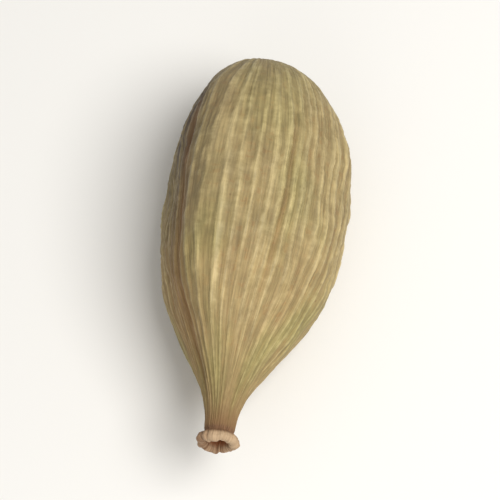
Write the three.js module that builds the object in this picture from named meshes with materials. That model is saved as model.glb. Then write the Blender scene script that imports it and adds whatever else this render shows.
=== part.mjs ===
// A whole dried green cardamom pod, lying on one of its three sides.
//
// The pod is one grown piece: a ribbed, three-sided husk that tapers into a short hollow beak (what is left
// of the flower's tube) and ends in a small sunken scar where the stalk broke off. Its long axis runs
// along Y, with the beak towards -Y and the stalk scar towards +Y. Z is up, and the pod stands on Z = 0 on a
// small flat spot. Units are millimetres.

import * as THREE from "three";

// Driving dimensions.
const LENGTH = 19.2; // from the stalk scar's rim to the beak's rim
const MAX_RADIUS = 4.02; // of the husk without its ribs, at the widest place
const REST_HEIGHT = 3.6; // of the husk's middle above the surface that it lies on

// The outline. Places along the pod are shares of the length, counted from the stalk end.
const WIDEST_AT = 0.31;
const NECK_AT = 0.945;
const ROUNDNESS = 2.1; // of the stalk end: 2 is an ellipse, more is blunter
const TAPER_POWER = 1.64; // how late the husk narrows towards the beak
const HUSK_START = 0.06; // where the husk's rounded end starts behind the scar's rim

// The stalk scar: a shallow dish with a raised rim. Its outline is shares of the radius, and depths.
const SCAR_RADIUS = 0.64;
const SCAR_OUTLINE = [[0, 0.16], [0.45, 0.11], [0.75, 0.02], [0.95, 0.06]];

// The beak: a neck, a collar with a rounded rim and the hole in it.
const NECK_RADIUS = 0.66;
const COLLAR_RADIUS = 1.0;
const COLLAR_LENGTH = 0.85;
const HOLE_RADIUS = 0.54;
const HOLE_END_RADIUS = 0.43;
const HOLE_DEPTH = 1.5;
const NECK_RELIEF = 0.7; // share of the ribs' height that is left where the neck ends
const RIM_RELIEF = 0.4; // the same, on the collar's rim
const RIM_STEPS = 6;

// The rounded three-sided section. Angles are in radians, counted from +X towards +Z.
const CORNER = 0.086; // how far the corners stand out, as a share of the radius
const EDGE = 0.058; // how much further each corner's narrow edge stands out
const SIDES_FROM = 0.16; // the three sides show in full between these shares of the length
const SIDES_TO = 0.7;
const SKEW = -0.26; // makes the three sides unequally wide
const ROLL = 0.19; // sets the lower side level

// The middle line.
const BOW = 0.3; // how far it bends sideways
const BOW_PEAK = 0.45; // less than 1 brings the bend nearer to the stalk end
const LIFT = 0.35; // how far the beak's end rises
const LIFT_FROM = 0.5; // share of the length at which it starts to rise

// The ribs, which run from end to end.
const RIBS = 40;
const RIB_HEIGHT = 0.14; // on average
const RIB_SPREAD = 0.25; // how much the ribs differ from each other, as a share of their height
const RIB_SWELL = 0.18; // how much one rib swells and fades along its length, as a share of its height
const SWELLS_ALONG = 9; // radians of that swell from end to end
const RIB_HALF_WIDTH = 0.27; // as a share of the spacing
const RIB_JITTER = 0.1; // how far a rib stands off its even place, as a share of the spacing
const RIB_SPIRAL = 0.16; // radians that a rib turns from end to end
const RIB_WAVES = [
  { size: 0.03, around: 2, along: 5, phase: 0 }, // neighbouring ribs stray together
  { size: 0.012, around: 5, along: -9, phase: 1 }, // fewer of them, by less
]; // sizes and phases in radians, around in waves per turn, along in radians from end to end
const RIB_START = 0.02; // share of the length by which the ribs have risen beside the scar
const RIB_FADE = 0.7; // how much lower the ribs are where the husk is narrow

// The fold where two of the husk's three valves meet, on the narrow side.
const SEAM_ANGLE = 2.5;
const SEAM_DRIFT = 0.1; // how far it strays sideways, in radians
const SEAM_WAVE = 5; // radians of that drift from end to end
const SEAM_FROM = 0.3; // the fold has its full depth between these shares of the length
const SEAM_TO = 0.75;
const SEAM_DEPTH = 0.13;
const SEAM_WIDTH = 0.085; // radians

// The rows of seeds behind each side push the husk out a little.
const LUMP = 0.07;
const SEED_ROWS = 6;
const ROW_WEAVE = 1.5; // how far a row weaves sideways, in radians of the wave across the rows
const WEAVES_ALONG = 9; // radians of that weave from end to end
const LUMPS_ALONG = 26; // radians of the wave along a row, from end to end
const LUMP_STAGGER = 2; // how much the lumps of one row are ahead of another's, in radians of that wave

// The mesh.
const HUSK_ROWS = 36;
const FIRST_ROW_RADIUS = 1.1; // the husk's first row is wider than the scar by this factor
const ROW_CROWDING = 0.1; // brings rows nearer to the stalk end, where the outline bends most
const ROW_POWER = 1.25; // the same, nearest to the scar
const COLUMNS_PER_RIB = 3; // the foot, the crest and the other foot of a rib

const TURN = 2 * Math.PI;
const UP = Math.PI / 2;

// A number from 0 to 1 that looks irregular and is always the same for the same n. Where one rib needs more
// than one of them, its number is multiplied by a different whole number for each.
const GOLDEN = 0.6180339887;
const scatter = (n) => (n * GOLDEN + 0.137) % 1;

function smoothStep(from, to, value) {
  const t = Math.min(Math.max((value - from) / (to - from), 0), 1);
  return t * t * (3 - 2 * t);
}

// Radius of the plain husk at share u of the length.
function huskRadius(u) {
  if (u < WIDEST_AT) {
    const back = (WIDEST_AT - u) / WIDEST_AT;
    return MAX_RADIUS * (1 - back ** ROUNDNESS) ** (1 / ROUNDNESS);
  }
  const v = Math.min((u - WIDEST_AT) / (NECK_AT - WIDEST_AT), 1);
  const left = Math.cos((Math.PI / 2) * v ** TAPER_POWER) ** 2;
  return NECK_RADIUS + (MAX_RADIUS - NECK_RADIUS) * left;
}

// How strongly the corners and lumps show at share u: they die out at the scar and the neck.
const shapeShare = (u) => smoothStep(0, SIDES_FROM, u) * (1 - smoothStep(SIDES_TO, NECK_AT, u));

// How strongly the ribs show at share u: they start beside the scar and are finer where they crowd together.
const ribShare = (u) => smoothStep(0, RIB_START, u) * (huskRadius(u) / MAX_RADIUS) ** RIB_FADE;

// The rounded triangle: 1 on average, more at the three corners.
function section(angle, u) {
  const rolled = angle - ROLL;
  const skewed = rolled + SKEW * Math.sin(rolled);
  const corner = Math.cos(3 * (skewed - UP));
  const edge = Math.max(corner, 0) ** 4;
  return 1 + shapeShare(u) * (CORNER * corner + EDGE * edge);
}

// The angle that a rib which starts at the given angle has strayed to at share u.
function stray(angle, u) {
  let strayed = angle + RIB_SPIRAL * (u - 0.5);
  for (const { size, around, along, phase } of RIB_WAVES) {
    strayed += size * Math.sin(around * angle + along * u + phase);
  }
  return strayed;
}

// Height of rib number i at share u.
function ribHeight(i, u) {
  const strength = 1 + RIB_SPREAD * (2 * scatter(i) - 1);
  const swell = 1 + RIB_SWELL * Math.sin(SWELLS_ALONG * u + TURN * scatter(3 * i));
  return RIB_HEIGHT * strength * swell * ribShare(u);
}

// Depth of the fold.
function seam(angle, u) {
  const middle = SEAM_ANGLE - SEAM_DRIFT * Math.sin(SEAM_WAVE * u);
  const across = (angle - middle) / SEAM_WIDTH;
  const ends = smoothStep(SEAM_FROM / 3, SEAM_FROM, u) * (1 - smoothStep(SEAM_TO, NECK_AT, u));
  return SEAM_DEPTH * Math.exp(-across * across) * ends;
}

// Height of the lumps that the seeds make.
function lumps(angle, u) {
  const around = Math.sin(SEED_ROWS * angle + ROW_WEAVE * Math.sin(WEAVES_ALONG * u));
  const along = Math.sin(LUMPS_ALONG * u + LUMP_STAGGER * Math.cos(angle));
  return LUMP * shapeShare(u) * around * along;
}

// One ring of the mesh: its place along the pod, its plain radius, and how much of the relief it carries.
const ring = (along, radius, relief) => ({ along, radius, relief });

const scarRings = () => SCAR_OUTLINE.map(([share, depth]) => ring(depth, SCAR_RADIUS * share, 0));

function huskRings() {
  const rings = [];
  for (let row = 1; row <= HUSK_ROWS; row++) {
    const step = row / HUSK_ROWS;
    const u = NECK_AT * (step - ROW_CROWDING * Math.sin(Math.PI * step)) ** ROW_POWER;
    const radius = huskRadius(u);
    const along = HUSK_START + u * (LENGTH - HUSK_START);
    if (radius > SCAR_RADIUS * FIRST_ROW_RADIUS) rings.push(ring(along, radius, 1));
  }
  return rings;
}

// The collar stands out from the neck, turns over a rounded rim and goes down into the hole.
function beakRings() {
  const rings = [ring(LENGTH - COLLAR_LENGTH, NECK_RADIUS, NECK_RELIEF)];
  const lip = (COLLAR_RADIUS - HOLE_RADIUS) / 2;
  for (let step = 0; step <= RIM_STEPS; step++) {
    const bend = (Math.PI * step) / RIM_STEPS;
    const radius = HOLE_RADIUS + lip + lip * Math.cos(bend);
    rings.push(ring(LENGTH - lip + lip * Math.sin(bend), radius, RIM_RELIEF));
  }
  rings.push(ring(LENGTH - HOLE_DEPTH, HOLE_END_RADIUS, 0));
  rings.push(ring(LENGTH - HOLE_DEPTH, 0, 0));
  return rings;
}

// A point of the surface. Below the resting height a section is cut off level, which leaves the flat spot.
function surfacePoint({ along, radius, relief }, column) {
  const u = Math.max((along - HUSK_START) / (LENGTH - HUSK_START), 0);
  const rib = Math.floor(column / COLUMNS_PER_RIB);
  const side = (column % COLUMNS_PER_RIB) - 1;
  const place = rib + RIB_JITTER * (2 * scatter(7 * rib) - 1) + RIB_HALF_WIDTH * side;
  const angle = stray((TURN * place) / RIBS, u);
  const raised = (side === 0 ? ribHeight(rib, u) : 0) + lumps(angle, u) - seam(angle, u);
  const plain = radius * section(angle, u) + relief * raised;
  const middleHeight = REST_HEIGHT + LIFT * smoothStep(LIFT_FROM, 1, u);
  const down = -Math.sin(angle);
  const reach = down > 0 ? Math.min(plain, middleHeight / down) : plain;
  return new THREE.Vector3(
    BOW * Math.sin(Math.PI * u ** BOW_PEAK) + reach * Math.cos(angle),
    LENGTH / 2 - along,
    middleHeight + reach * Math.sin(angle),
  );
}

function podGeometry() {
  const rings = [...scarRings(), ...huskRings(), ...beakRings()];
  const columns = RIBS * COLUMNS_PER_RIB;
  const inner = rings.slice(1, -1);
  const points = [surfacePoint(rings[0], 0)];
  for (const one of inner) {
    for (let column = 0; column < columns; column++) points.push(surfacePoint(one, column));
  }
  points.push(surfacePoint(rings.at(-1), 0));

  const at = (row, column) => 1 + row * columns + (column % columns);
  const last = points.length - 1;
  const faces = [];
  for (let c = 0; c < columns; c++) {
    faces.push(0, at(0, c + 1), at(0, c));
    for (let row = 0; row + 1 < inner.length; row++) {
      faces.push(at(row, c), at(row + 1, c + 1), at(row + 1, c));
      faces.push(at(row, c), at(row, c + 1), at(row + 1, c + 1));
    }
    faces.push(at(inner.length - 1, c), at(inner.length - 1, c + 1), last);
  }
  const geometry = new THREE.BufferGeometry().setFromPoints(points);
  geometry.setIndex(faces);

  // The origin goes under the middle of the pod's box.
  geometry.computeBoundingBox();
  const middle = geometry.boundingBox.getCenter(new THREE.Vector3());
  geometry.translate(-middle.x, -middle.y, 0);
  geometry.computeVertexNormals();
  return geometry;
}

const husk = new THREE.MeshStandardMaterial({ color: 0xaa9f6b, roughness: 0.62, metalness: 0 });
const pod = new THREE.Mesh(podGeometry(), husk);
pod.name = "pod";

const cardamom = new THREE.Group();
cardamom.add(pod);

export default cardamom;
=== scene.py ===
# A dried green cardamom pod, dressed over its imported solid.
#
# One husk mesh replaces the solid. It follows the same formulas and adds what is too fine for the solid:
# round-topped ribs with thin ones between them, cross wrinkles, dents, a ragged collar and a rough scar.
# The pod's sizes are in millimetres and are turned into metres when its mesh is made. The stage is in
# metres. Angles are in radians and are counted from +X towards +Z. Places along the pod are shares of its
# length, from the stalk end.

import math

import bpy
import numpy as np
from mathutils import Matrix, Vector


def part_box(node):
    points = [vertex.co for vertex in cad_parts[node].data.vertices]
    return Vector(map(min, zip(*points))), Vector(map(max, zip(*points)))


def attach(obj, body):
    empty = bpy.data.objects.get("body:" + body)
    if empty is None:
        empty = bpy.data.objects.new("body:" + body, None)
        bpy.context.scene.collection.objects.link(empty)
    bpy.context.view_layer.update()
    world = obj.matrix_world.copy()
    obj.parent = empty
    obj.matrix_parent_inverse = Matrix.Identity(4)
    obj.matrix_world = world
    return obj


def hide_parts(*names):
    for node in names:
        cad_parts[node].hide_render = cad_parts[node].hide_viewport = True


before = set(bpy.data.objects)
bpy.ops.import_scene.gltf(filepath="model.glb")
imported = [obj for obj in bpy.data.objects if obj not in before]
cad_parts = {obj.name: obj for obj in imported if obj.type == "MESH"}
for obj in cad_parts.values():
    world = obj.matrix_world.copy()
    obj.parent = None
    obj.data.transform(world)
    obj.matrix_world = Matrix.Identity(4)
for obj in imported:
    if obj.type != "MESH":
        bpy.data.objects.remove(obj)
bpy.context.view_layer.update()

MM = 0.001
TURN = 2 * math.pi
UP = math.pi / 2

# Driving dimensions, the same as the solid's.
LENGTH = 19.2
MAX_RADIUS = 4.02
REST_HEIGHT = 3.6

WIDEST_AT = 0.31
NECK_AT = 0.945
ROUNDNESS = 2.1
TAPER_POWER = 1.64
HUSK_START = 0.06

SCAR_RADIUS = 0.64
SCAR_OUTLINE = [[0, 0.16], [0.45, 0.11], [0.75, 0.02], [0.95, 0.06]]

NECK_RADIUS = 0.66
COLLAR_RADIUS = 1.0
COLLAR_LENGTH = 0.85
HOLE_RADIUS = 0.54
HOLE_END_RADIUS = 0.43
HOLE_DEPTH = 1.5
NECK_RELIEF = 0.7
RIM_RELIEF = 0.4

CORNER = 0.086
EDGE = 0.058
SIDES_FROM = 0.16
SIDES_TO = 0.7
SKEW = -0.26
ROLL = 0.19

BOW = 0.3
BOW_PEAK = 0.45
LIFT = 0.35
LIFT_FROM = 0.5

RIBS = 40
RIB_HEIGHT = 0.14
RIB_SPREAD = 0.25
RIB_SWELL = 0.18
SWELLS_ALONG = 9
RIB_JITTER = 0.1
RIB_SPIRAL = 0.16
RIB_WAVES = [(0.03, 2, 5, 0), (0.012, 5, -9, 1)]  # size, waves round the pod, radians along it, phase
RIB_START = 0.02
RIB_FADE = 0.7

SEAM_ANGLE = 2.5
SEAM_DRIFT = 0.1
SEAM_WAVE = 5
SEAM_FROM = 0.3
SEAM_TO = 0.75
SEAM_DEPTH = 0.13
SEAM_WIDTH = 0.085

LUMP = 0.07
SEED_ROWS = 6
ROW_WEAVE = 1.5
WEAVES_ALONG = 9
LUMPS_ALONG = 26
LUMP_STAGGER = 2

# The fine ribs. What is counted along the pod is cells of noise.
RIB_SHARE = 0.82  # the ribs are rounder than the solid's, and this much as high
RIB_SINKING = 0.45  # how much of its height a rib loses where it sinks in
SINKS_ALONG = 5
RIB_WANDER = 0.16  # how far a rib wanders sideways, as a share of the spacing
WANDERS_ALONG = 6
CREST_WIDTH = 0.24  # of a rib, as a share of the spacing
CREST_SPREAD = 0.15  # how much the ribs differ in width
CREST_BEADS = 0.3  # how much the beads on a rib change its height
BEADS_ALONG = 44
THIN_RIB_HEIGHT = 0.05
THIN_RIB_WIDTH = 0.09
THIN_WANDERS_ALONG = 7
THIN_RIBS_ALONG = 8
RUNG_HEIGHT = 0.035  # of the short bridges across the furrows
RUNGS_ALONG = 62

# Wrinkles, creases and dents. Pairs of cells are round the pod and along it.
WRINKLE = 0.02
WRINKLE_CELLS = (110, 120)
WRINKLE_DRIFT = 0.05  # how far the wrinkles stray round the pod, in turns
DRIFTS_ALONG = 17
GRAIN_SHARE = 0.45  # the finer grain's height, as a share of the wrinkles'
GRAIN_CELLS = (240, 190)
CREASE_ANGLE = 1.2  # of a narrow crease on the broad side
CREASE_DEPTH = 0.11
CREASE_WIDTH = 0.035
CREASE_FADE = (0.5, 0.7)  # the crease dies out between these shares of the length
DENT = 0.16
BROAD_DENT_SHARE = 0.6
BROAD_DENT_CELLS = (7, 6)
SMALL_DENT_CELLS = (19, 17)
FLOOR_SOFTNESS = 0.02  # how gently the husk meets the flat spot

# The collar and the scar.
GROOVE = 0.08  # how much the neck narrows where the collar starts, as a share
FLARE_SHARE = 0.8  # how much of its width the collar gains early, the rest growing up to the rim
FLARE_END = 0.45  # share of the collar's length by which it has gained that
COLLAR_BLEND = 0.35  # the collar's folds and colours grow in this far ahead of it
RIM_FROM = 0.6  # the wear sets in between these distances from the beak's end
RIM_TO = 0.1
RIM_RAGGED = 0.32  # how far the collar's broken edge is worn back
BROAD_BREAK_SHARE = 0.6
BROAD_BREAKS = 7  # cells of noise round the collar
SMALL_BREAKS = 34
COLLAR_FOLDS = 0.07  # how far the collar's folds go in, as a share
FOLD_WAVES = [(0.8, 3, 0.6), (0.6, 5, 2)]  # size, waves round the collar, phase
SMALL_FOLD_SIZE = 1.3
SMALL_FOLDS = 44
WORN_AND_HIGHLIGHT_ANGLE = 0.9  # of the side where the collar is rubbed pale and painted with a highlight, towards the key light
SCAR_FADE = (0.8, 1.25)  # shares of its radius between which the scar turns into husk
SCAR_ROUGHNESS = 0.05
SCAR_CELLS = (24, 6)
STALK_END = 0.2  # the scar lies before this share of the length
BEAK_END = 0.8  # and the hole after this one
HOLE_SHADE_FROM = 0.1  # the hole starts to darken this far inside
HOLE_SHADE_LENGTH = 0.5  # and is dark after this much more

# Where the left side is brown and darker with painted shade, and the radius round which the material's
# noise is wrapped.
BROWN_AND_SHADE_ANGLE = 2.75
BROWN_AND_SHADE_WIDTH = 0.62
GRAIN_RADIUS = 3.8

# The mesh.
COLUMNS = 480
SCAR_ROWS = 10
HUSK_ROWS = 156
NECK_ROWS = 5
COLLAR_ROWS = 8
RIM_ROWS = 12
HOLE_ROWS = 8
FIRST_ROW_RADIUS = 1.03  # the husk's first row is wider than the scar by this factor
ROW_CROWDING = 0.1  # brings rows nearer to the stalk end, where the outline bends most
ROW_POWER = 1.3  # the same, nearest to the scar

GOLDEN = 0.6180339887


def scatter(n):
    return (n * GOLDEN + 0.137) % 1


def smooth_step(low, high, value):
    t = np.clip((value - low) / (high - low), 0, 1)
    return t * t * (3 - 2 * t)


def noise(around, along, cells_around, cells_along, seed):
    """Smooth irregular values from -1 to 1, which meet themselves after one turn round the pod.

    Each column of cells is moved along the pod by a different part of a cell, so that no rows line up.
    """
    random = np.random.default_rng(seed)
    table = random.uniform(-1, 1, (cells_along + 3, cells_around))
    moved = random.uniform(0, 1, cells_around)

    def in_column(number):
        column = number % cells_around
        y = np.clip(along, 0, 1) * cells_along + moved[column]
        low = np.floor(y).astype(int)
        up = smooth_step(0, 1, y - low)
        return table[low, column] * (1 - up) + table[low + 1, column] * up

    x = around * cells_around
    left = np.floor(x).astype(int)
    across = smooth_step(0, 1, x - left)
    return in_column(left) * (1 - across) + in_column(left + 1) * across


def ring_noise(around, cells, seed):
    """Noise that changes only round the pod."""
    return noise(around, np.full_like(around, 0.5), cells, 2, seed)


# The solid's own formulas.

def husk_radius(u):
    back = np.clip((WIDEST_AT - u) / WIDEST_AT, 0, 1)
    blunt = MAX_RADIUS * (1 - back ** ROUNDNESS) ** (1 / ROUNDNESS)
    v = np.clip((u - WIDEST_AT) / (NECK_AT - WIDEST_AT), 0, 1)
    left = np.cos(math.pi / 2 * v ** TAPER_POWER) ** 2
    taper = NECK_RADIUS + (MAX_RADIUS - NECK_RADIUS) * left
    return np.where(u < WIDEST_AT, blunt, taper)


def shape_share(u):
    return smooth_step(0, SIDES_FROM, u) * (1 - smooth_step(SIDES_TO, NECK_AT, u))


def rib_share(u):
    return smooth_step(0, RIB_START, u) * (husk_radius(u) / MAX_RADIUS) ** RIB_FADE


def section(angle, u):
    rolled = angle - ROLL
    skewed = rolled + SKEW * np.sin(rolled)
    corner = np.cos(3 * (skewed - UP))
    edge = np.maximum(corner, 0) ** 4
    return 1 + shape_share(u) * (CORNER * corner + EDGE * edge)


def stray(angle, u):
    strayed = angle + RIB_SPIRAL * (u - 0.5)
    for size, around, along, phase in RIB_WAVES:
        strayed = strayed + size * np.sin(around * angle + along * u + phase)
    return strayed


def rib_height(i, u):
    strength = 1 + RIB_SPREAD * (2 * scatter(i) - 1)
    swell = 1 + RIB_SWELL * np.sin(SWELLS_ALONG * u + TURN * scatter(3 * i))
    return RIB_HEIGHT * strength * swell * rib_share(u)


def seam(angle, u, middle_angle, depth, width):
    middle = middle_angle - SEAM_DRIFT * np.sin(SEAM_WAVE * u)
    off = (angle - middle + math.pi) % TURN - math.pi
    ends = smooth_step(SEAM_FROM / 3, SEAM_FROM, u) * (1 - smooth_step(SEAM_TO, NECK_AT, u))
    return depth * np.exp(-((off / width) ** 2)) * ends


def lumps(angle, u):
    around = np.sin(SEED_ROWS * angle + ROW_WEAVE * np.sin(WEAVES_ALONG * u))
    along = np.sin(LUMPS_ALONG * u + LUMP_STAGGER * np.cos(angle))
    return LUMP * shape_share(u) * around * along


# The fine relief that only this mesh has. A place round the pod is counted in ribs.

def ribs(place, u):
    """Height of the ribs, which wander, sink in and carry beads along each crest."""
    total = np.zeros_like(place)
    for step in (-1, 0, 1):
        i = np.round(place) + step
        rib = i % RIBS
        wander = RIB_WANDER * noise(rib / RIBS, u, RIBS, WANDERS_ALONG, seed=11)
        middle = i + RIB_JITTER * (2 * scatter(7 * rib) - 1) + wander
        beaded = smooth_step(-0.2, 0.9, noise(rib / RIBS, u, RIBS, BEADS_ALONG, seed=12))
        sunk = smooth_step(0, 0.8, noise(rib / RIBS, u, RIBS, SINKS_ALONG, seed=13))
        height = rib_height(rib, u) * (1 - CREST_BEADS * beaded) * (1 - RIB_SINKING * sunk)
        width = CREST_WIDTH * (1 + CREST_SPREAD * (2 * scatter(5 * rib) - 1))
        total += height * np.exp(-(((place - middle) / width) ** 2))
    return RIB_SHARE * total


def thin_ribs(place, u):
    """Height of the thin ribs that come and go between the main ones."""
    total = np.zeros_like(place)
    for step in (-1, 0, 1):
        i = np.floor(place) + step
        rib = i % RIBS
        wander = RIB_WANDER * noise(rib / RIBS, u, RIBS, THIN_WANDERS_ALONG, seed=21)
        shown = smooth_step(-0.3, 0.6, noise(rib / RIBS, u, RIBS, THIN_RIBS_ALONG, seed=22))
        off = (place - i - 0.5 - wander) / THIN_RIB_WIDTH
        total += THIN_RIB_HEIGHT * shown * rib_share(u) * np.exp(-(off ** 2))
    return total


def rungs(place, u):
    """Height of the bridges that cross each furrow between two ribs, at uneven spacings."""
    furrow = np.floor(place) % RIBS
    across = np.sin(math.pi * (place - np.floor(place)))
    shown = smooth_step(-0.1, 0.8, noise(furrow / RIBS, u, RIBS, RUNGS_ALONG, seed=23))
    return RUNG_HEIGHT * shown * across * rib_share(u)


def wrinkles(around, u):
    """Short creases across the ribs, and a grain that is finer still."""
    strayed = around + WRINKLE_DRIFT * np.sin(DRIFTS_ALONG * u)
    creases = noise(strayed, u, *WRINKLE_CELLS, seed=31)
    grain = noise(around, u, *GRAIN_CELLS, seed=32)
    return WRINKLE * rib_share(u) * (creases + GRAIN_SHARE * grain)


def dents(around, u):
    """Shallow hollows where the husk shrank as it dried. They only go inwards."""
    broad = smooth_step(0.15, 0.9, noise(around, u, *BROAD_DENT_CELLS, seed=41))
    small = smooth_step(0.3, 0.9, noise(around, u, *SMALL_DENT_CELLS, seed=42))
    return -DENT * shape_share(u) * (BROAD_DENT_SHARE * broad + (1 - BROAD_DENT_SHARE) * small)


def collar_folds(around, angle):
    """How far the collar is folded in, round the pod."""
    folded = SMALL_FOLD_SIZE * ring_noise(around, SMALL_FOLDS, seed=53)
    for size, count, phase in FOLD_WAVES:
        folded = folded + size * np.sin(count * angle + phase)
    return np.abs(folded)


def rim_wear(around):
    """How far the collar's edge is worn back, round the pod, from 0 to 1."""
    broad = ring_noise(around, BROAD_BREAKS, seed=51)
    small = ring_noise(around, SMALL_BREAKS, seed=52)
    return 0.5 + 0.5 * (BROAD_BREAK_SHARE * broad + (1 - BROAD_BREAK_SHARE) * small)


def flare(t):
    """How the collar opens: quickly out of its groove, then nearly level, and a little more at the rim."""
    return FLARE_SHARE * smooth_step(0, FLARE_END, t) + (1 - FLARE_SHARE) * t * t


def scar_rows():
    shares, depths = np.array(SCAR_OUTLINE).T
    rows = []
    for k in range(1, SCAR_ROWS):
        share = k / SCAR_ROWS
        rows.append((float(np.interp(share, shares, depths)), SCAR_RADIUS * share, 0.0))
    return rows


def husk_rows():
    rows = []
    for k in range(1, HUSK_ROWS + 1):
        step = k / HUSK_ROWS
        u = NECK_AT * (step - ROW_CROWDING * math.sin(math.pi * step)) ** ROW_POWER
        radius = float(husk_radius(np.float64(u)))
        if radius > SCAR_RADIUS * FIRST_ROW_RADIUS:
            rows.append((HUSK_START + u * (LENGTH - HUSK_START), radius, 1.0))
    return rows


def beak_rows():
    """The neck, the collar, its rounded rim and the hole in it."""
    rows = []
    neck_end = HUSK_START + NECK_AT * (LENGTH - HUSK_START)
    collar_start = LENGTH - COLLAR_LENGTH
    for k in range(1, NECK_ROWS + 1):
        t = k / NECK_ROWS
        radius = NECK_RADIUS * (1 - GROOVE * t * t)
        rows.append((neck_end + t * (collar_start - neck_end), radius, 1 + (NECK_RELIEF - 1) * t))
    lip = (COLLAR_RADIUS - HOLE_RADIUS) / 2
    flare_end = LENGTH - lip
    narrow = NECK_RADIUS * (1 - GROOVE)
    for k in range(1, COLLAR_ROWS):
        t = k / COLLAR_ROWS
        radius = narrow + (COLLAR_RADIUS - narrow) * float(flare(t))
        relief = NECK_RELIEF + (RIM_RELIEF - NECK_RELIEF) * t
        rows.append((collar_start + t * (flare_end - collar_start), radius, relief))
    for k in range(RIM_ROWS + 1):
        bend = math.pi * k / RIM_ROWS
        radius = HOLE_RADIUS + lip + lip * math.cos(bend)
        rows.append((flare_end + lip * math.sin(bend), radius, RIM_RELIEF))
    for k in range(1, HOLE_ROWS + 1):
        t = k / HOLE_ROWS
        radius = HOLE_RADIUS + (HOLE_END_RADIUS - HOLE_RADIUS) * t
        rows.append((flare_end + t * (LENGTH - HOLE_DEPTH - flare_end), radius, RIM_RELIEF * (1 - t)))
    return rows


def husk_points():
    """Every vertex of the rows, with the values that the material reads."""
    # A row has its place along the pod in mm, its plain radius, and how much of the relief it carries.
    rows = np.array(scar_rows() + husk_rows() + beak_rows())
    shape = (len(rows), COLUMNS)
    along, plain, relief = (np.broadcast_to(column[:, None], shape) for column in rows.T)
    place = np.broadcast_to(np.arange(COLUMNS) * RIBS / COLUMNS, shape)
    around = place / RIBS
    u = np.clip((along - HUSK_START) / (LENGTH - HUSK_START), 0, 1)
    angle = stray(TURN * around, u)

    rib = ribs(place, u) + thin_ribs(place, u) + rungs(place, u)
    folds = seam(angle, u, SEAM_ANGLE, SEAM_DEPTH, SEAM_WIDTH)
    crease = seam(angle, u, CREASE_ANGLE, CREASE_DEPTH, CREASE_WIDTH) * (1 - smooth_step(*CREASE_FADE, u))
    raised = rib + wrinkles(around, u) + dents(around, u) + lumps(angle, u) - folds - crease

    # The collar is worn back unevenly and isn't quite round.
    collar_start = LENGTH - COLLAR_LENGTH - COLLAR_BLEND
    on_collar = smooth_step(collar_start, LENGTH - COLLAR_BLEND, along)
    on_rim = smooth_step(LENGTH - RIM_FROM, LENGTH - RIM_TO, along)
    radius = plain * section(angle, u) + relief * raised
    radius = radius * (1 - COLLAR_FOLDS * on_collar * collar_folds(around, angle))
    depth = along - RIM_RAGGED * on_rim * rim_wear(around)

    # The scar's floor is rough.
    fade_from, fade_to = SCAR_FADE
    on_scar = 1 - smooth_step(SCAR_RADIUS * fade_from, SCAR_RADIUS * fade_to, plain)
    on_scar = on_scar * (u < STALK_END)
    rough = 0.5 + 0.5 * noise(around, plain / SCAR_RADIUS, *SCAR_CELLS, seed=61)
    depth = depth + SCAR_ROUGHNESS * on_scar * rough

    # Below the resting height a section is cut off level, which leaves the flat spot.
    middle_height = REST_HEIGHT + LIFT * smooth_step(LIFT_FROM, 1, u)
    down = -np.sin(angle)
    limit = middle_height / np.maximum(down, 1e-3)
    near = np.clip((limit - radius) / FLOOR_SOFTNESS, -60, 60)
    reach = radius - FLOOR_SOFTNESS * np.log1p(np.exp(-near))

    x = BOW * np.sin(math.pi * u ** BOW_PEAK) + reach * np.cos(angle)
    y = LENGTH / 2 - depth
    z = middle_height + reach * np.sin(angle)
    points = np.stack([x, y, z], axis=-1)

    hole = smooth_step(0, HOLE_SHADE_LENGTH, LENGTH - HOLE_SHADE_FROM - along)
    # The left side: partly brown streaks, partly painted shade.
    brown_and_shade_side = np.exp(-(((angle - BROWN_AND_SHADE_ANGLE) / BROWN_AND_SHADE_WIDTH) ** 2))
    values = {
        "rib": np.clip(rib / RIB_HEIGHT, 0, 1.4),
        "fold": np.clip(folds / SEAM_DEPTH + 0.5 * crease / CREASE_DEPTH, 0, 1),
        "edge": np.clip((section(angle, u) - 1) / (CORNER + EDGE), 0, 1),
        "shade": brown_and_shade_side * shape_share(u),
        "along": u,
        "collar": on_collar,
        # The collar's side towards the key light is paler: rubbed, and a painted highlight.
        "worn_and_highlight": smooth_step(-0.4, 1, np.cos(angle - WORN_AND_HIGHLIGHT_ANGLE)),
        "hollow": hole * (plain <= HOLE_RADIUS) * (u > BEAK_END),
        "scar": on_scar,
    }
    wrapped = [GRAIN_RADIUS * np.cos(TURN * around), GRAIN_RADIUS * np.sin(TURN * around), along]
    return points, values, np.stack(wrapped, axis=-1)


def close_ends(flat, per_row):
    """Adds the two end points: the mean of the first row and of the last."""
    return np.concatenate([flat[:per_row].mean(axis=0)[None], flat, flat[-per_row:].mean(axis=0)[None]])


def husk_faces(rows):
    faces = []
    for c in range(COLUMNS):
        after = (c + 1) % COLUMNS
        faces.append((0, 1 + after, 1 + c))
        for r in range(rows - 1):
            low = 1 + r * COLUMNS
            high = low + COLUMNS
            faces.append((low + c, low + after, high + after, high + c))
        end = 1 + (rows - 1) * COLUMNS
        faces.append((end + c, end + after, end + COLUMNS))
    return faces


def keep_value(mesh, name, kind, key, value):
    """Keeps one value for each vertex on the mesh, for the material to read."""
    layer = mesh.attributes.new(name, kind, "POINT")
    layer.data.foreach_set(key, close_ends(value, COLUMNS).ravel().astype(np.float32))


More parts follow.
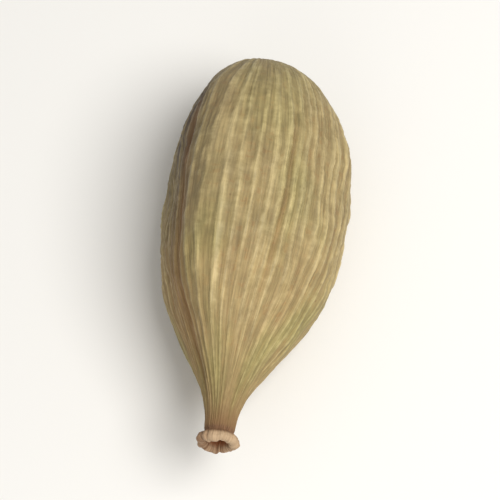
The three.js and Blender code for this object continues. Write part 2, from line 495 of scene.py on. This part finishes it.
def make_husk():
    points, values, grain = husk_points()
    rows = points.shape[0]
    flat = close_ends(points.reshape(-1, 3), COLUMNS)

    # The mesh stands where the solid does, and shrinks by a hair where its relief would pass the box.
    low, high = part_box("pod")
    room = np.array(high - low) / MM
    flat *= np.minimum(1, room / (flat.max(axis=0) - flat.min(axis=0)))
    middle = (flat.min(axis=0) + flat.max(axis=0)) / 2
    flat[:, 0] += (low.x + high.x) / 2 / MM - middle[0]
    flat[:, 1] += (low.y + high.y) / 2 / MM - middle[1]

    mesh = bpy.data.meshes.new("cardamom_husk")
    mesh.from_pydata((flat * MM).tolist(), [], husk_faces(rows))
    mesh.shade_smooth()
    for name, value in values.items():
        keep_value(mesh, name, "FLOAT", "value", value.reshape(-1, 1))
    keep_value(mesh, "grain", "FLOAT_VECTOR", "vector", grain.reshape(-1, 3))
    husk = bpy.data.objects.new("cardamom_husk", mesh)
    bpy.context.scene.collection.objects.link(husk)
    return husk


# Materials.

def srgb(red, green, blue):
    """A colour as seen on a screen, 0 to 255, as linear light."""
    def linear(value):
        share = value / 255
        return share / 12.92 if share <= 0.04045 else ((share + 0.055) / 1.055) ** 2.4
    return (linear(red), linear(green), linear(blue), 1.0)


# Colours. Of a pair, the first is for furrows or dark streaks and the second for crests or pale streaks.
STRAW = [srgb(153, 134, 90), srgb(193, 174, 124)]
GREY_STRAW = [srgb(152, 136, 104), srgb(194, 179, 144)]
GREEN = [srgb(134, 128, 76), srgb(184, 177, 116)]
TANNED = srgb(144, 108, 62)
# Pale rubbed corners, which are also a painted highlight along them.
RUBBED_AND_HIGHLIGHT = srgb(202, 182, 134)
# Dark brown of the streaks at the stalk end, which on the left side is also painted shade.
BROWN_AND_SHADE_AT_STALK = srgb(82, 68, 54)
BROWN_AT_BEAK = srgb(150, 114, 72)
FOLD_BROWN = srgb(134, 92, 52)
SPECK = srgb(96, 70, 42)
NECK = [srgb(132, 105, 67), srgb(188, 159, 112)]
# The neck's end and the collar's start: partly brown, partly painted shade in the groove between them.
NECK_END_BROWN_AND_SHADE = srgb(128, 94, 60)
COLLAR_BROWN_AND_SHADE = [srgb(100, 70, 46), srgb(138, 103, 72)]
COLLAR_TAN = [srgb(132, 98, 70), srgb(182, 150, 118)]
# Pale rubbed collar, which is also a painted highlight on the side towards the key light.
COLLAR_WORN_AND_HIGHLIGHT = srgb(198, 172, 138)
SCAR = [srgb(126, 94, 62), srgb(192, 164, 122)]
HOLE = srgb(160, 100, 60)
FLOOR = srgb(236, 235, 232)


class Shader:
    """Adds nodes to one material and links them."""

    def __init__(self, name):
        self.material = bpy.data.materials.new(name)
        self.material.use_nodes = True
        self.tree = self.material.node_tree
        self.surface = self.tree.nodes["Principled BSDF"]

    def add(self, kind, inputs=(), **settings):
        node = self.tree.nodes.new(kind)
        for key, value in settings.items():
            setattr(node, key, value)
        for key, value in dict(inputs).items():
            self.put(node.inputs[key], value)
        return node

    def put(self, socket, value):
        if isinstance(value, bpy.types.NodeSocket):
            self.tree.links.new(value, socket)
        else:
            socket.default_value = value

    def read(self, name):
        return self.add("ShaderNodeAttribute", attribute_name=name).outputs["Fac"]

    def maths(self, operation, first, second=0.0):
        node = self.add("ShaderNodeMath", operation=operation)
        self.put(node.inputs[0], first)
        self.put(node.inputs[1], second)
        return node.outputs[0]

    def spread(self, value, low, high, to_low=0.0, to_high=1.0):
        node = self.add("ShaderNodeMapRange", {"Value": value, "From Min": low, "From Max": high})
        node.interpolation_type = "SMOOTHSTEP"
        node.inputs["To Min"].default_value = to_low
        node.inputs["To Max"].default_value = to_high
        return node.outputs["Result"]

    def mix(self, share, first, second, blend_type="MIX"):
        node = self.add("ShaderNodeMix", data_type="RGBA", blend_type=blend_type)
        self.put(node.inputs[0], share)
        self.put(node.inputs[6], first)
        self.put(node.inputs[7], second)
        return node.outputs[2]

    def noise(self, vector, stretch, detail=3.0, rough=0.55):
        """Noise whose cells are stretched: cells per mm across the ribs, and along them."""
        across, along = stretch
        scaled = self.add("ShaderNodeMapping", {"Vector": vector, "Scale": (across, across, along)})
        node = self.add("ShaderNodeTexNoise", {"Vector": scaled.outputs[0], "Scale": 1.0, "Detail": detail})
        node.inputs["Roughness"].default_value = rough
        return node.outputs["Fac"]


def husk_material():
    s = Shader("cardamom_husk")
    grain = s.add("ShaderNodeAttribute", attribute_name="grain").outputs["Vector"]
    rib = s.read("rib")
    fold = s.read("fold")
    shade = s.read("shade")
    along = s.read("along")

    patches = s.noise(grain, (0.32, 0.2), 2.0)
    streaks = s.noise(grain, (3.2, 0.22), 4.0)
    fibres = s.noise(grain, (11.0, 0.8), 3.0)
    beads = s.noise(grain, (2.6, 4.2), 3.0)
    mottle = s.noise(grain, (1.3, 0.9), 4.0)

    # Pale straw crests over darker furrows. The corners are rubbed paler, which also paints a highlight
    # along them.
    height = s.maths("ADD", rib, s.spread(beads, 0.25, 0.75, -0.2, 0.2))
    crest = s.spread(height, -0.1, 1.05)
    colour = s.mix(crest, *STRAW)
    tanned = s.maths("MULTIPLY", s.spread(crest, 0.1, 0.6, 0.5, 0.0), s.spread(beads, 0.48, 0.66))
    colour = s.mix(tanned, colour, TANNED)
    rubbed_and_highlight = s.maths("MULTIPLY", s.spread(s.read("edge"), 0.35, 1.0), s.spread(crest, 0.2, 0.9, 0.15, 0.5))
    colour = s.mix(rubbed_and_highlight, colour, RUBBED_AND_HIGHLIGHT)

    # The stalk end is greyer.
    colour = s.mix(s.spread(along, 0.0, 0.24, 0.4, 0.0), colour, s.mix(crest, *GREY_STRAW))

    # Greener patches, most of all on the beak's half.
    green_patch = s.spread(patches, 0.44, 0.68)
    green = s.maths("MULTIPLY", green_patch, s.spread(along, 0.2, 0.75, 0.35, 0.7))
    colour = s.mix(green, colour, s.mix(crest, *GREEN))

    # Brown streaks along the ribs and in the fold. On the left side they are partly its own brown and
    # partly painted shade, darkest towards the stalk end.
    left_brown_and_shade_share = s.maths("MULTIPLY", shade, s.spread(along, 0.3, 0.6, 0.95, 0.62))
    brown_and_shade_share = s.maths("ADD", left_brown_and_shade_share, 0.2)
    brown_and_shade_amount = s.maths("MULTIPLY", brown_and_shade_share, s.spread(streaks, 0.4, 0.66, 0.5, 1.0))
    colour = s.mix(brown_and_shade_amount, colour, s.mix(s.spread(along, 0.35, 0.7), BROWN_AND_SHADE_AT_STALK, BROWN_AT_BEAK))
    colour = s.mix(s.maths("MULTIPLY", fold, 0.5), colour, FOLD_BROWN)

    # Fine fibres and mottling.
    colour = s.mix(0.6, colour, s.spread(fibres, 0.3, 0.7, 0.66, 1.26), "MULTIPLY")
    colour = s.mix(0.6, colour, s.spread(mottle, 0.3, 0.7, 0.82, 1.14), "MULTIPLY")

    # Small dark specks.
    speck_place = s.add("ShaderNodeMapping", {"Vector": grain, "Scale": (1.5, 1.5, 1.0)}).outputs[0]
    cells = s.add("ShaderNodeTexVoronoi", {"Vector": speck_place, "Scale": 1.0, "Randomness": 1.0})
    speck = s.spread(cells.outputs["Distance"], 0.03, 0.1, 1.0, 0.0)
    speck = s.maths("MULTIPLY", speck, s.spread(mottle, 0.4, 0.6, 0.1, 0.55))
    colour = s.mix(speck, colour, SPECK)

    # The neck turns brown in streaks before it reaches the collar, and is darker at its end, partly its own
    # brown and partly painted shade in the groove.
    neck = s.maths("MULTIPLY", s.spread(along, 0.78, 0.95), s.spread(streaks, 0.3, 0.62, 0.25, 0.9))
    colour = s.mix(neck, colour, s.mix(crest, *NECK))
    neck_end = s.maths("MULTIPLY", s.spread(along, 0.885, 0.955), s.spread(fibres, 0.3, 0.6, 0.4, 0.9))
    colour = s.mix(neck_end, colour, NECK_END_BROWN_AND_SHADE)

    # The collar is brown where it leaves the neck, partly painted shade in the groove there, and tan on its
    # rim, paler towards the key light with rubbed wear and a painted highlight.
    band = s.read("collar")
    streaked = s.spread(streaks, 0.35, 0.65)
    colour = s.mix(s.spread(band, 0.02, 0.3), colour, s.mix(streaked, *COLLAR_BROWN_AND_SHADE))
    # Its side towards the key light is paler, partly rubbed wear and partly a painted highlight.
    worn_and_highlight = s.maths("MULTIPLY", s.read("worn_and_highlight"), s.spread(fibres, 0.35, 0.6, 0.35, 0.85))
    rim_colour = s.mix(worn_and_highlight, s.mix(streaked, *COLLAR_TAN), COLLAR_WORN_AND_HIGHLIGHT)
    colour = s.mix(s.spread(band, 0.62, 1.0), colour, rim_colour)

    # The scar is pale and the hole dark.
    scar_colour = s.mix(s.spread(mottle, 0.35, 0.65), *SCAR)
    colour = s.mix(s.spread(s.read("scar"), 0.2, 1.0), colour, scar_colour)
    colour = s.mix(s.read("hollow"), colour, HOLE)
    s.put(s.surface.inputs["Base Color"], colour)

    # The crests are smoother than the furrows.
    s.put(s.surface.inputs["Roughness"], s.spread(height, 0.0, 1.0, 0.72, 0.52))
    s.surface.inputs["Specular IOR Level"].default_value = 0.4

    fine = s.add("ShaderNodeBump", {"Height": fibres, "Strength": 0.6, "Distance": 0.00004})
    coarse = s.add("ShaderNodeBump", {"Height": beads, "Strength": 0.5, "Distance": 0.00005})
    s.put(coarse.inputs["Normal"], fine.outputs[0])
    s.put(s.surface.inputs["Normal"], coarse.outputs[0])
    return s.material


def floor_material():
    s = Shader("pale_floor")
    s.surface.inputs["Base Color"].default_value = FLOOR
    s.surface.inputs["Roughness"].default_value = 0.85
    return s.material


# The stage: floor, light and camera.

FLOOR_HALF = 1.5
LIT_POINT = (0, 0, 0.003)

LENS = 200
SENSOR = 36
AZIMUTH = math.radians(6.2)
ELEVATION = math.radians(66)
FILL = 0.78  # share of the picture's height that the pod takes


def make_floor():
    near, far = -FLOOR_HALF, FLOOR_HALF
    corners = [(near, near, 0), (far, near, 0), (far, far, 0), (near, far, 0)]
    mesh = bpy.data.meshes.new("floor")
    mesh.from_pydata(corners, [], [(0, 1, 2, 3)])
    floor = bpy.data.objects.new("floor", mesh)
    bpy.context.scene.collection.objects.link(floor)
    floor.data.materials.append(floor_material())


def aim(thing, target):
    thing.rotation_mode = "QUATERNION"
    thing.rotation_quaternion = (Vector(target) - thing.location).to_track_quat("-Z", "Y")


def add_light(name, place, size, power, colour):
    data = bpy.data.lights.new(name, "AREA")
    data.shape = "DISK"
    data.size = size
    data.energy = power
    data.color = colour
    light = bpy.data.objects.new(name, data)
    light.location = place
    bpy.context.scene.collection.objects.link(light)
    aim(light, LIT_POINT)


def make_lights():
    world = bpy.data.worlds.new("studio")
    world.use_nodes = True
    background = world.node_tree.nodes["Background"]
    background.inputs["Color"].default_value = (1.0, 0.99, 0.97, 1)
    background.inputs["Strength"].default_value = 0.45
    bpy.context.scene.world = world
    add_light("key", place=(0.063, -0.02, 0.127), size=0.1, power=0.182, colour=(1.0, 0.98, 0.95))
    add_light("fill", place=(-0.02, -0.13, 0.08), size=0.1, power=0.02, colour=(0.97, 0.98, 1.0))


def make_camera():
    """The camera looks down on the pod, with the beak at the bottom of the picture."""
    low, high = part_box("pod")
    centre = (low + high) / 2
    side = Vector((math.sin(AZIMUTH), -math.cos(AZIMUTH), 0)) * math.cos(ELEVATION)
    back = side + Vector((0, 0, math.sin(ELEVATION)))
    shown = (high.y - low.y) * math.sin(ELEVATION) / FILL
    data = bpy.data.cameras.new("camera")
    data.lens = LENS
    data.sensor_width = SENSOR
    data.clip_start = 0.005
    data.clip_end = 10
    camera = bpy.data.objects.new("camera", data)
    camera.location = centre + back * (shown * LENS / SENSOR)
    bpy.context.scene.collection.objects.link(camera)
    aim(camera, centre)
    bpy.context.scene.camera = camera


husk = make_husk()
husk.data.materials.append(husk_material())
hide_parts("pod")
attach(husk, "root")

make_floor()
make_lights()
make_camera()
bpy.context.scene.view_settings.view_transform = "Standard"
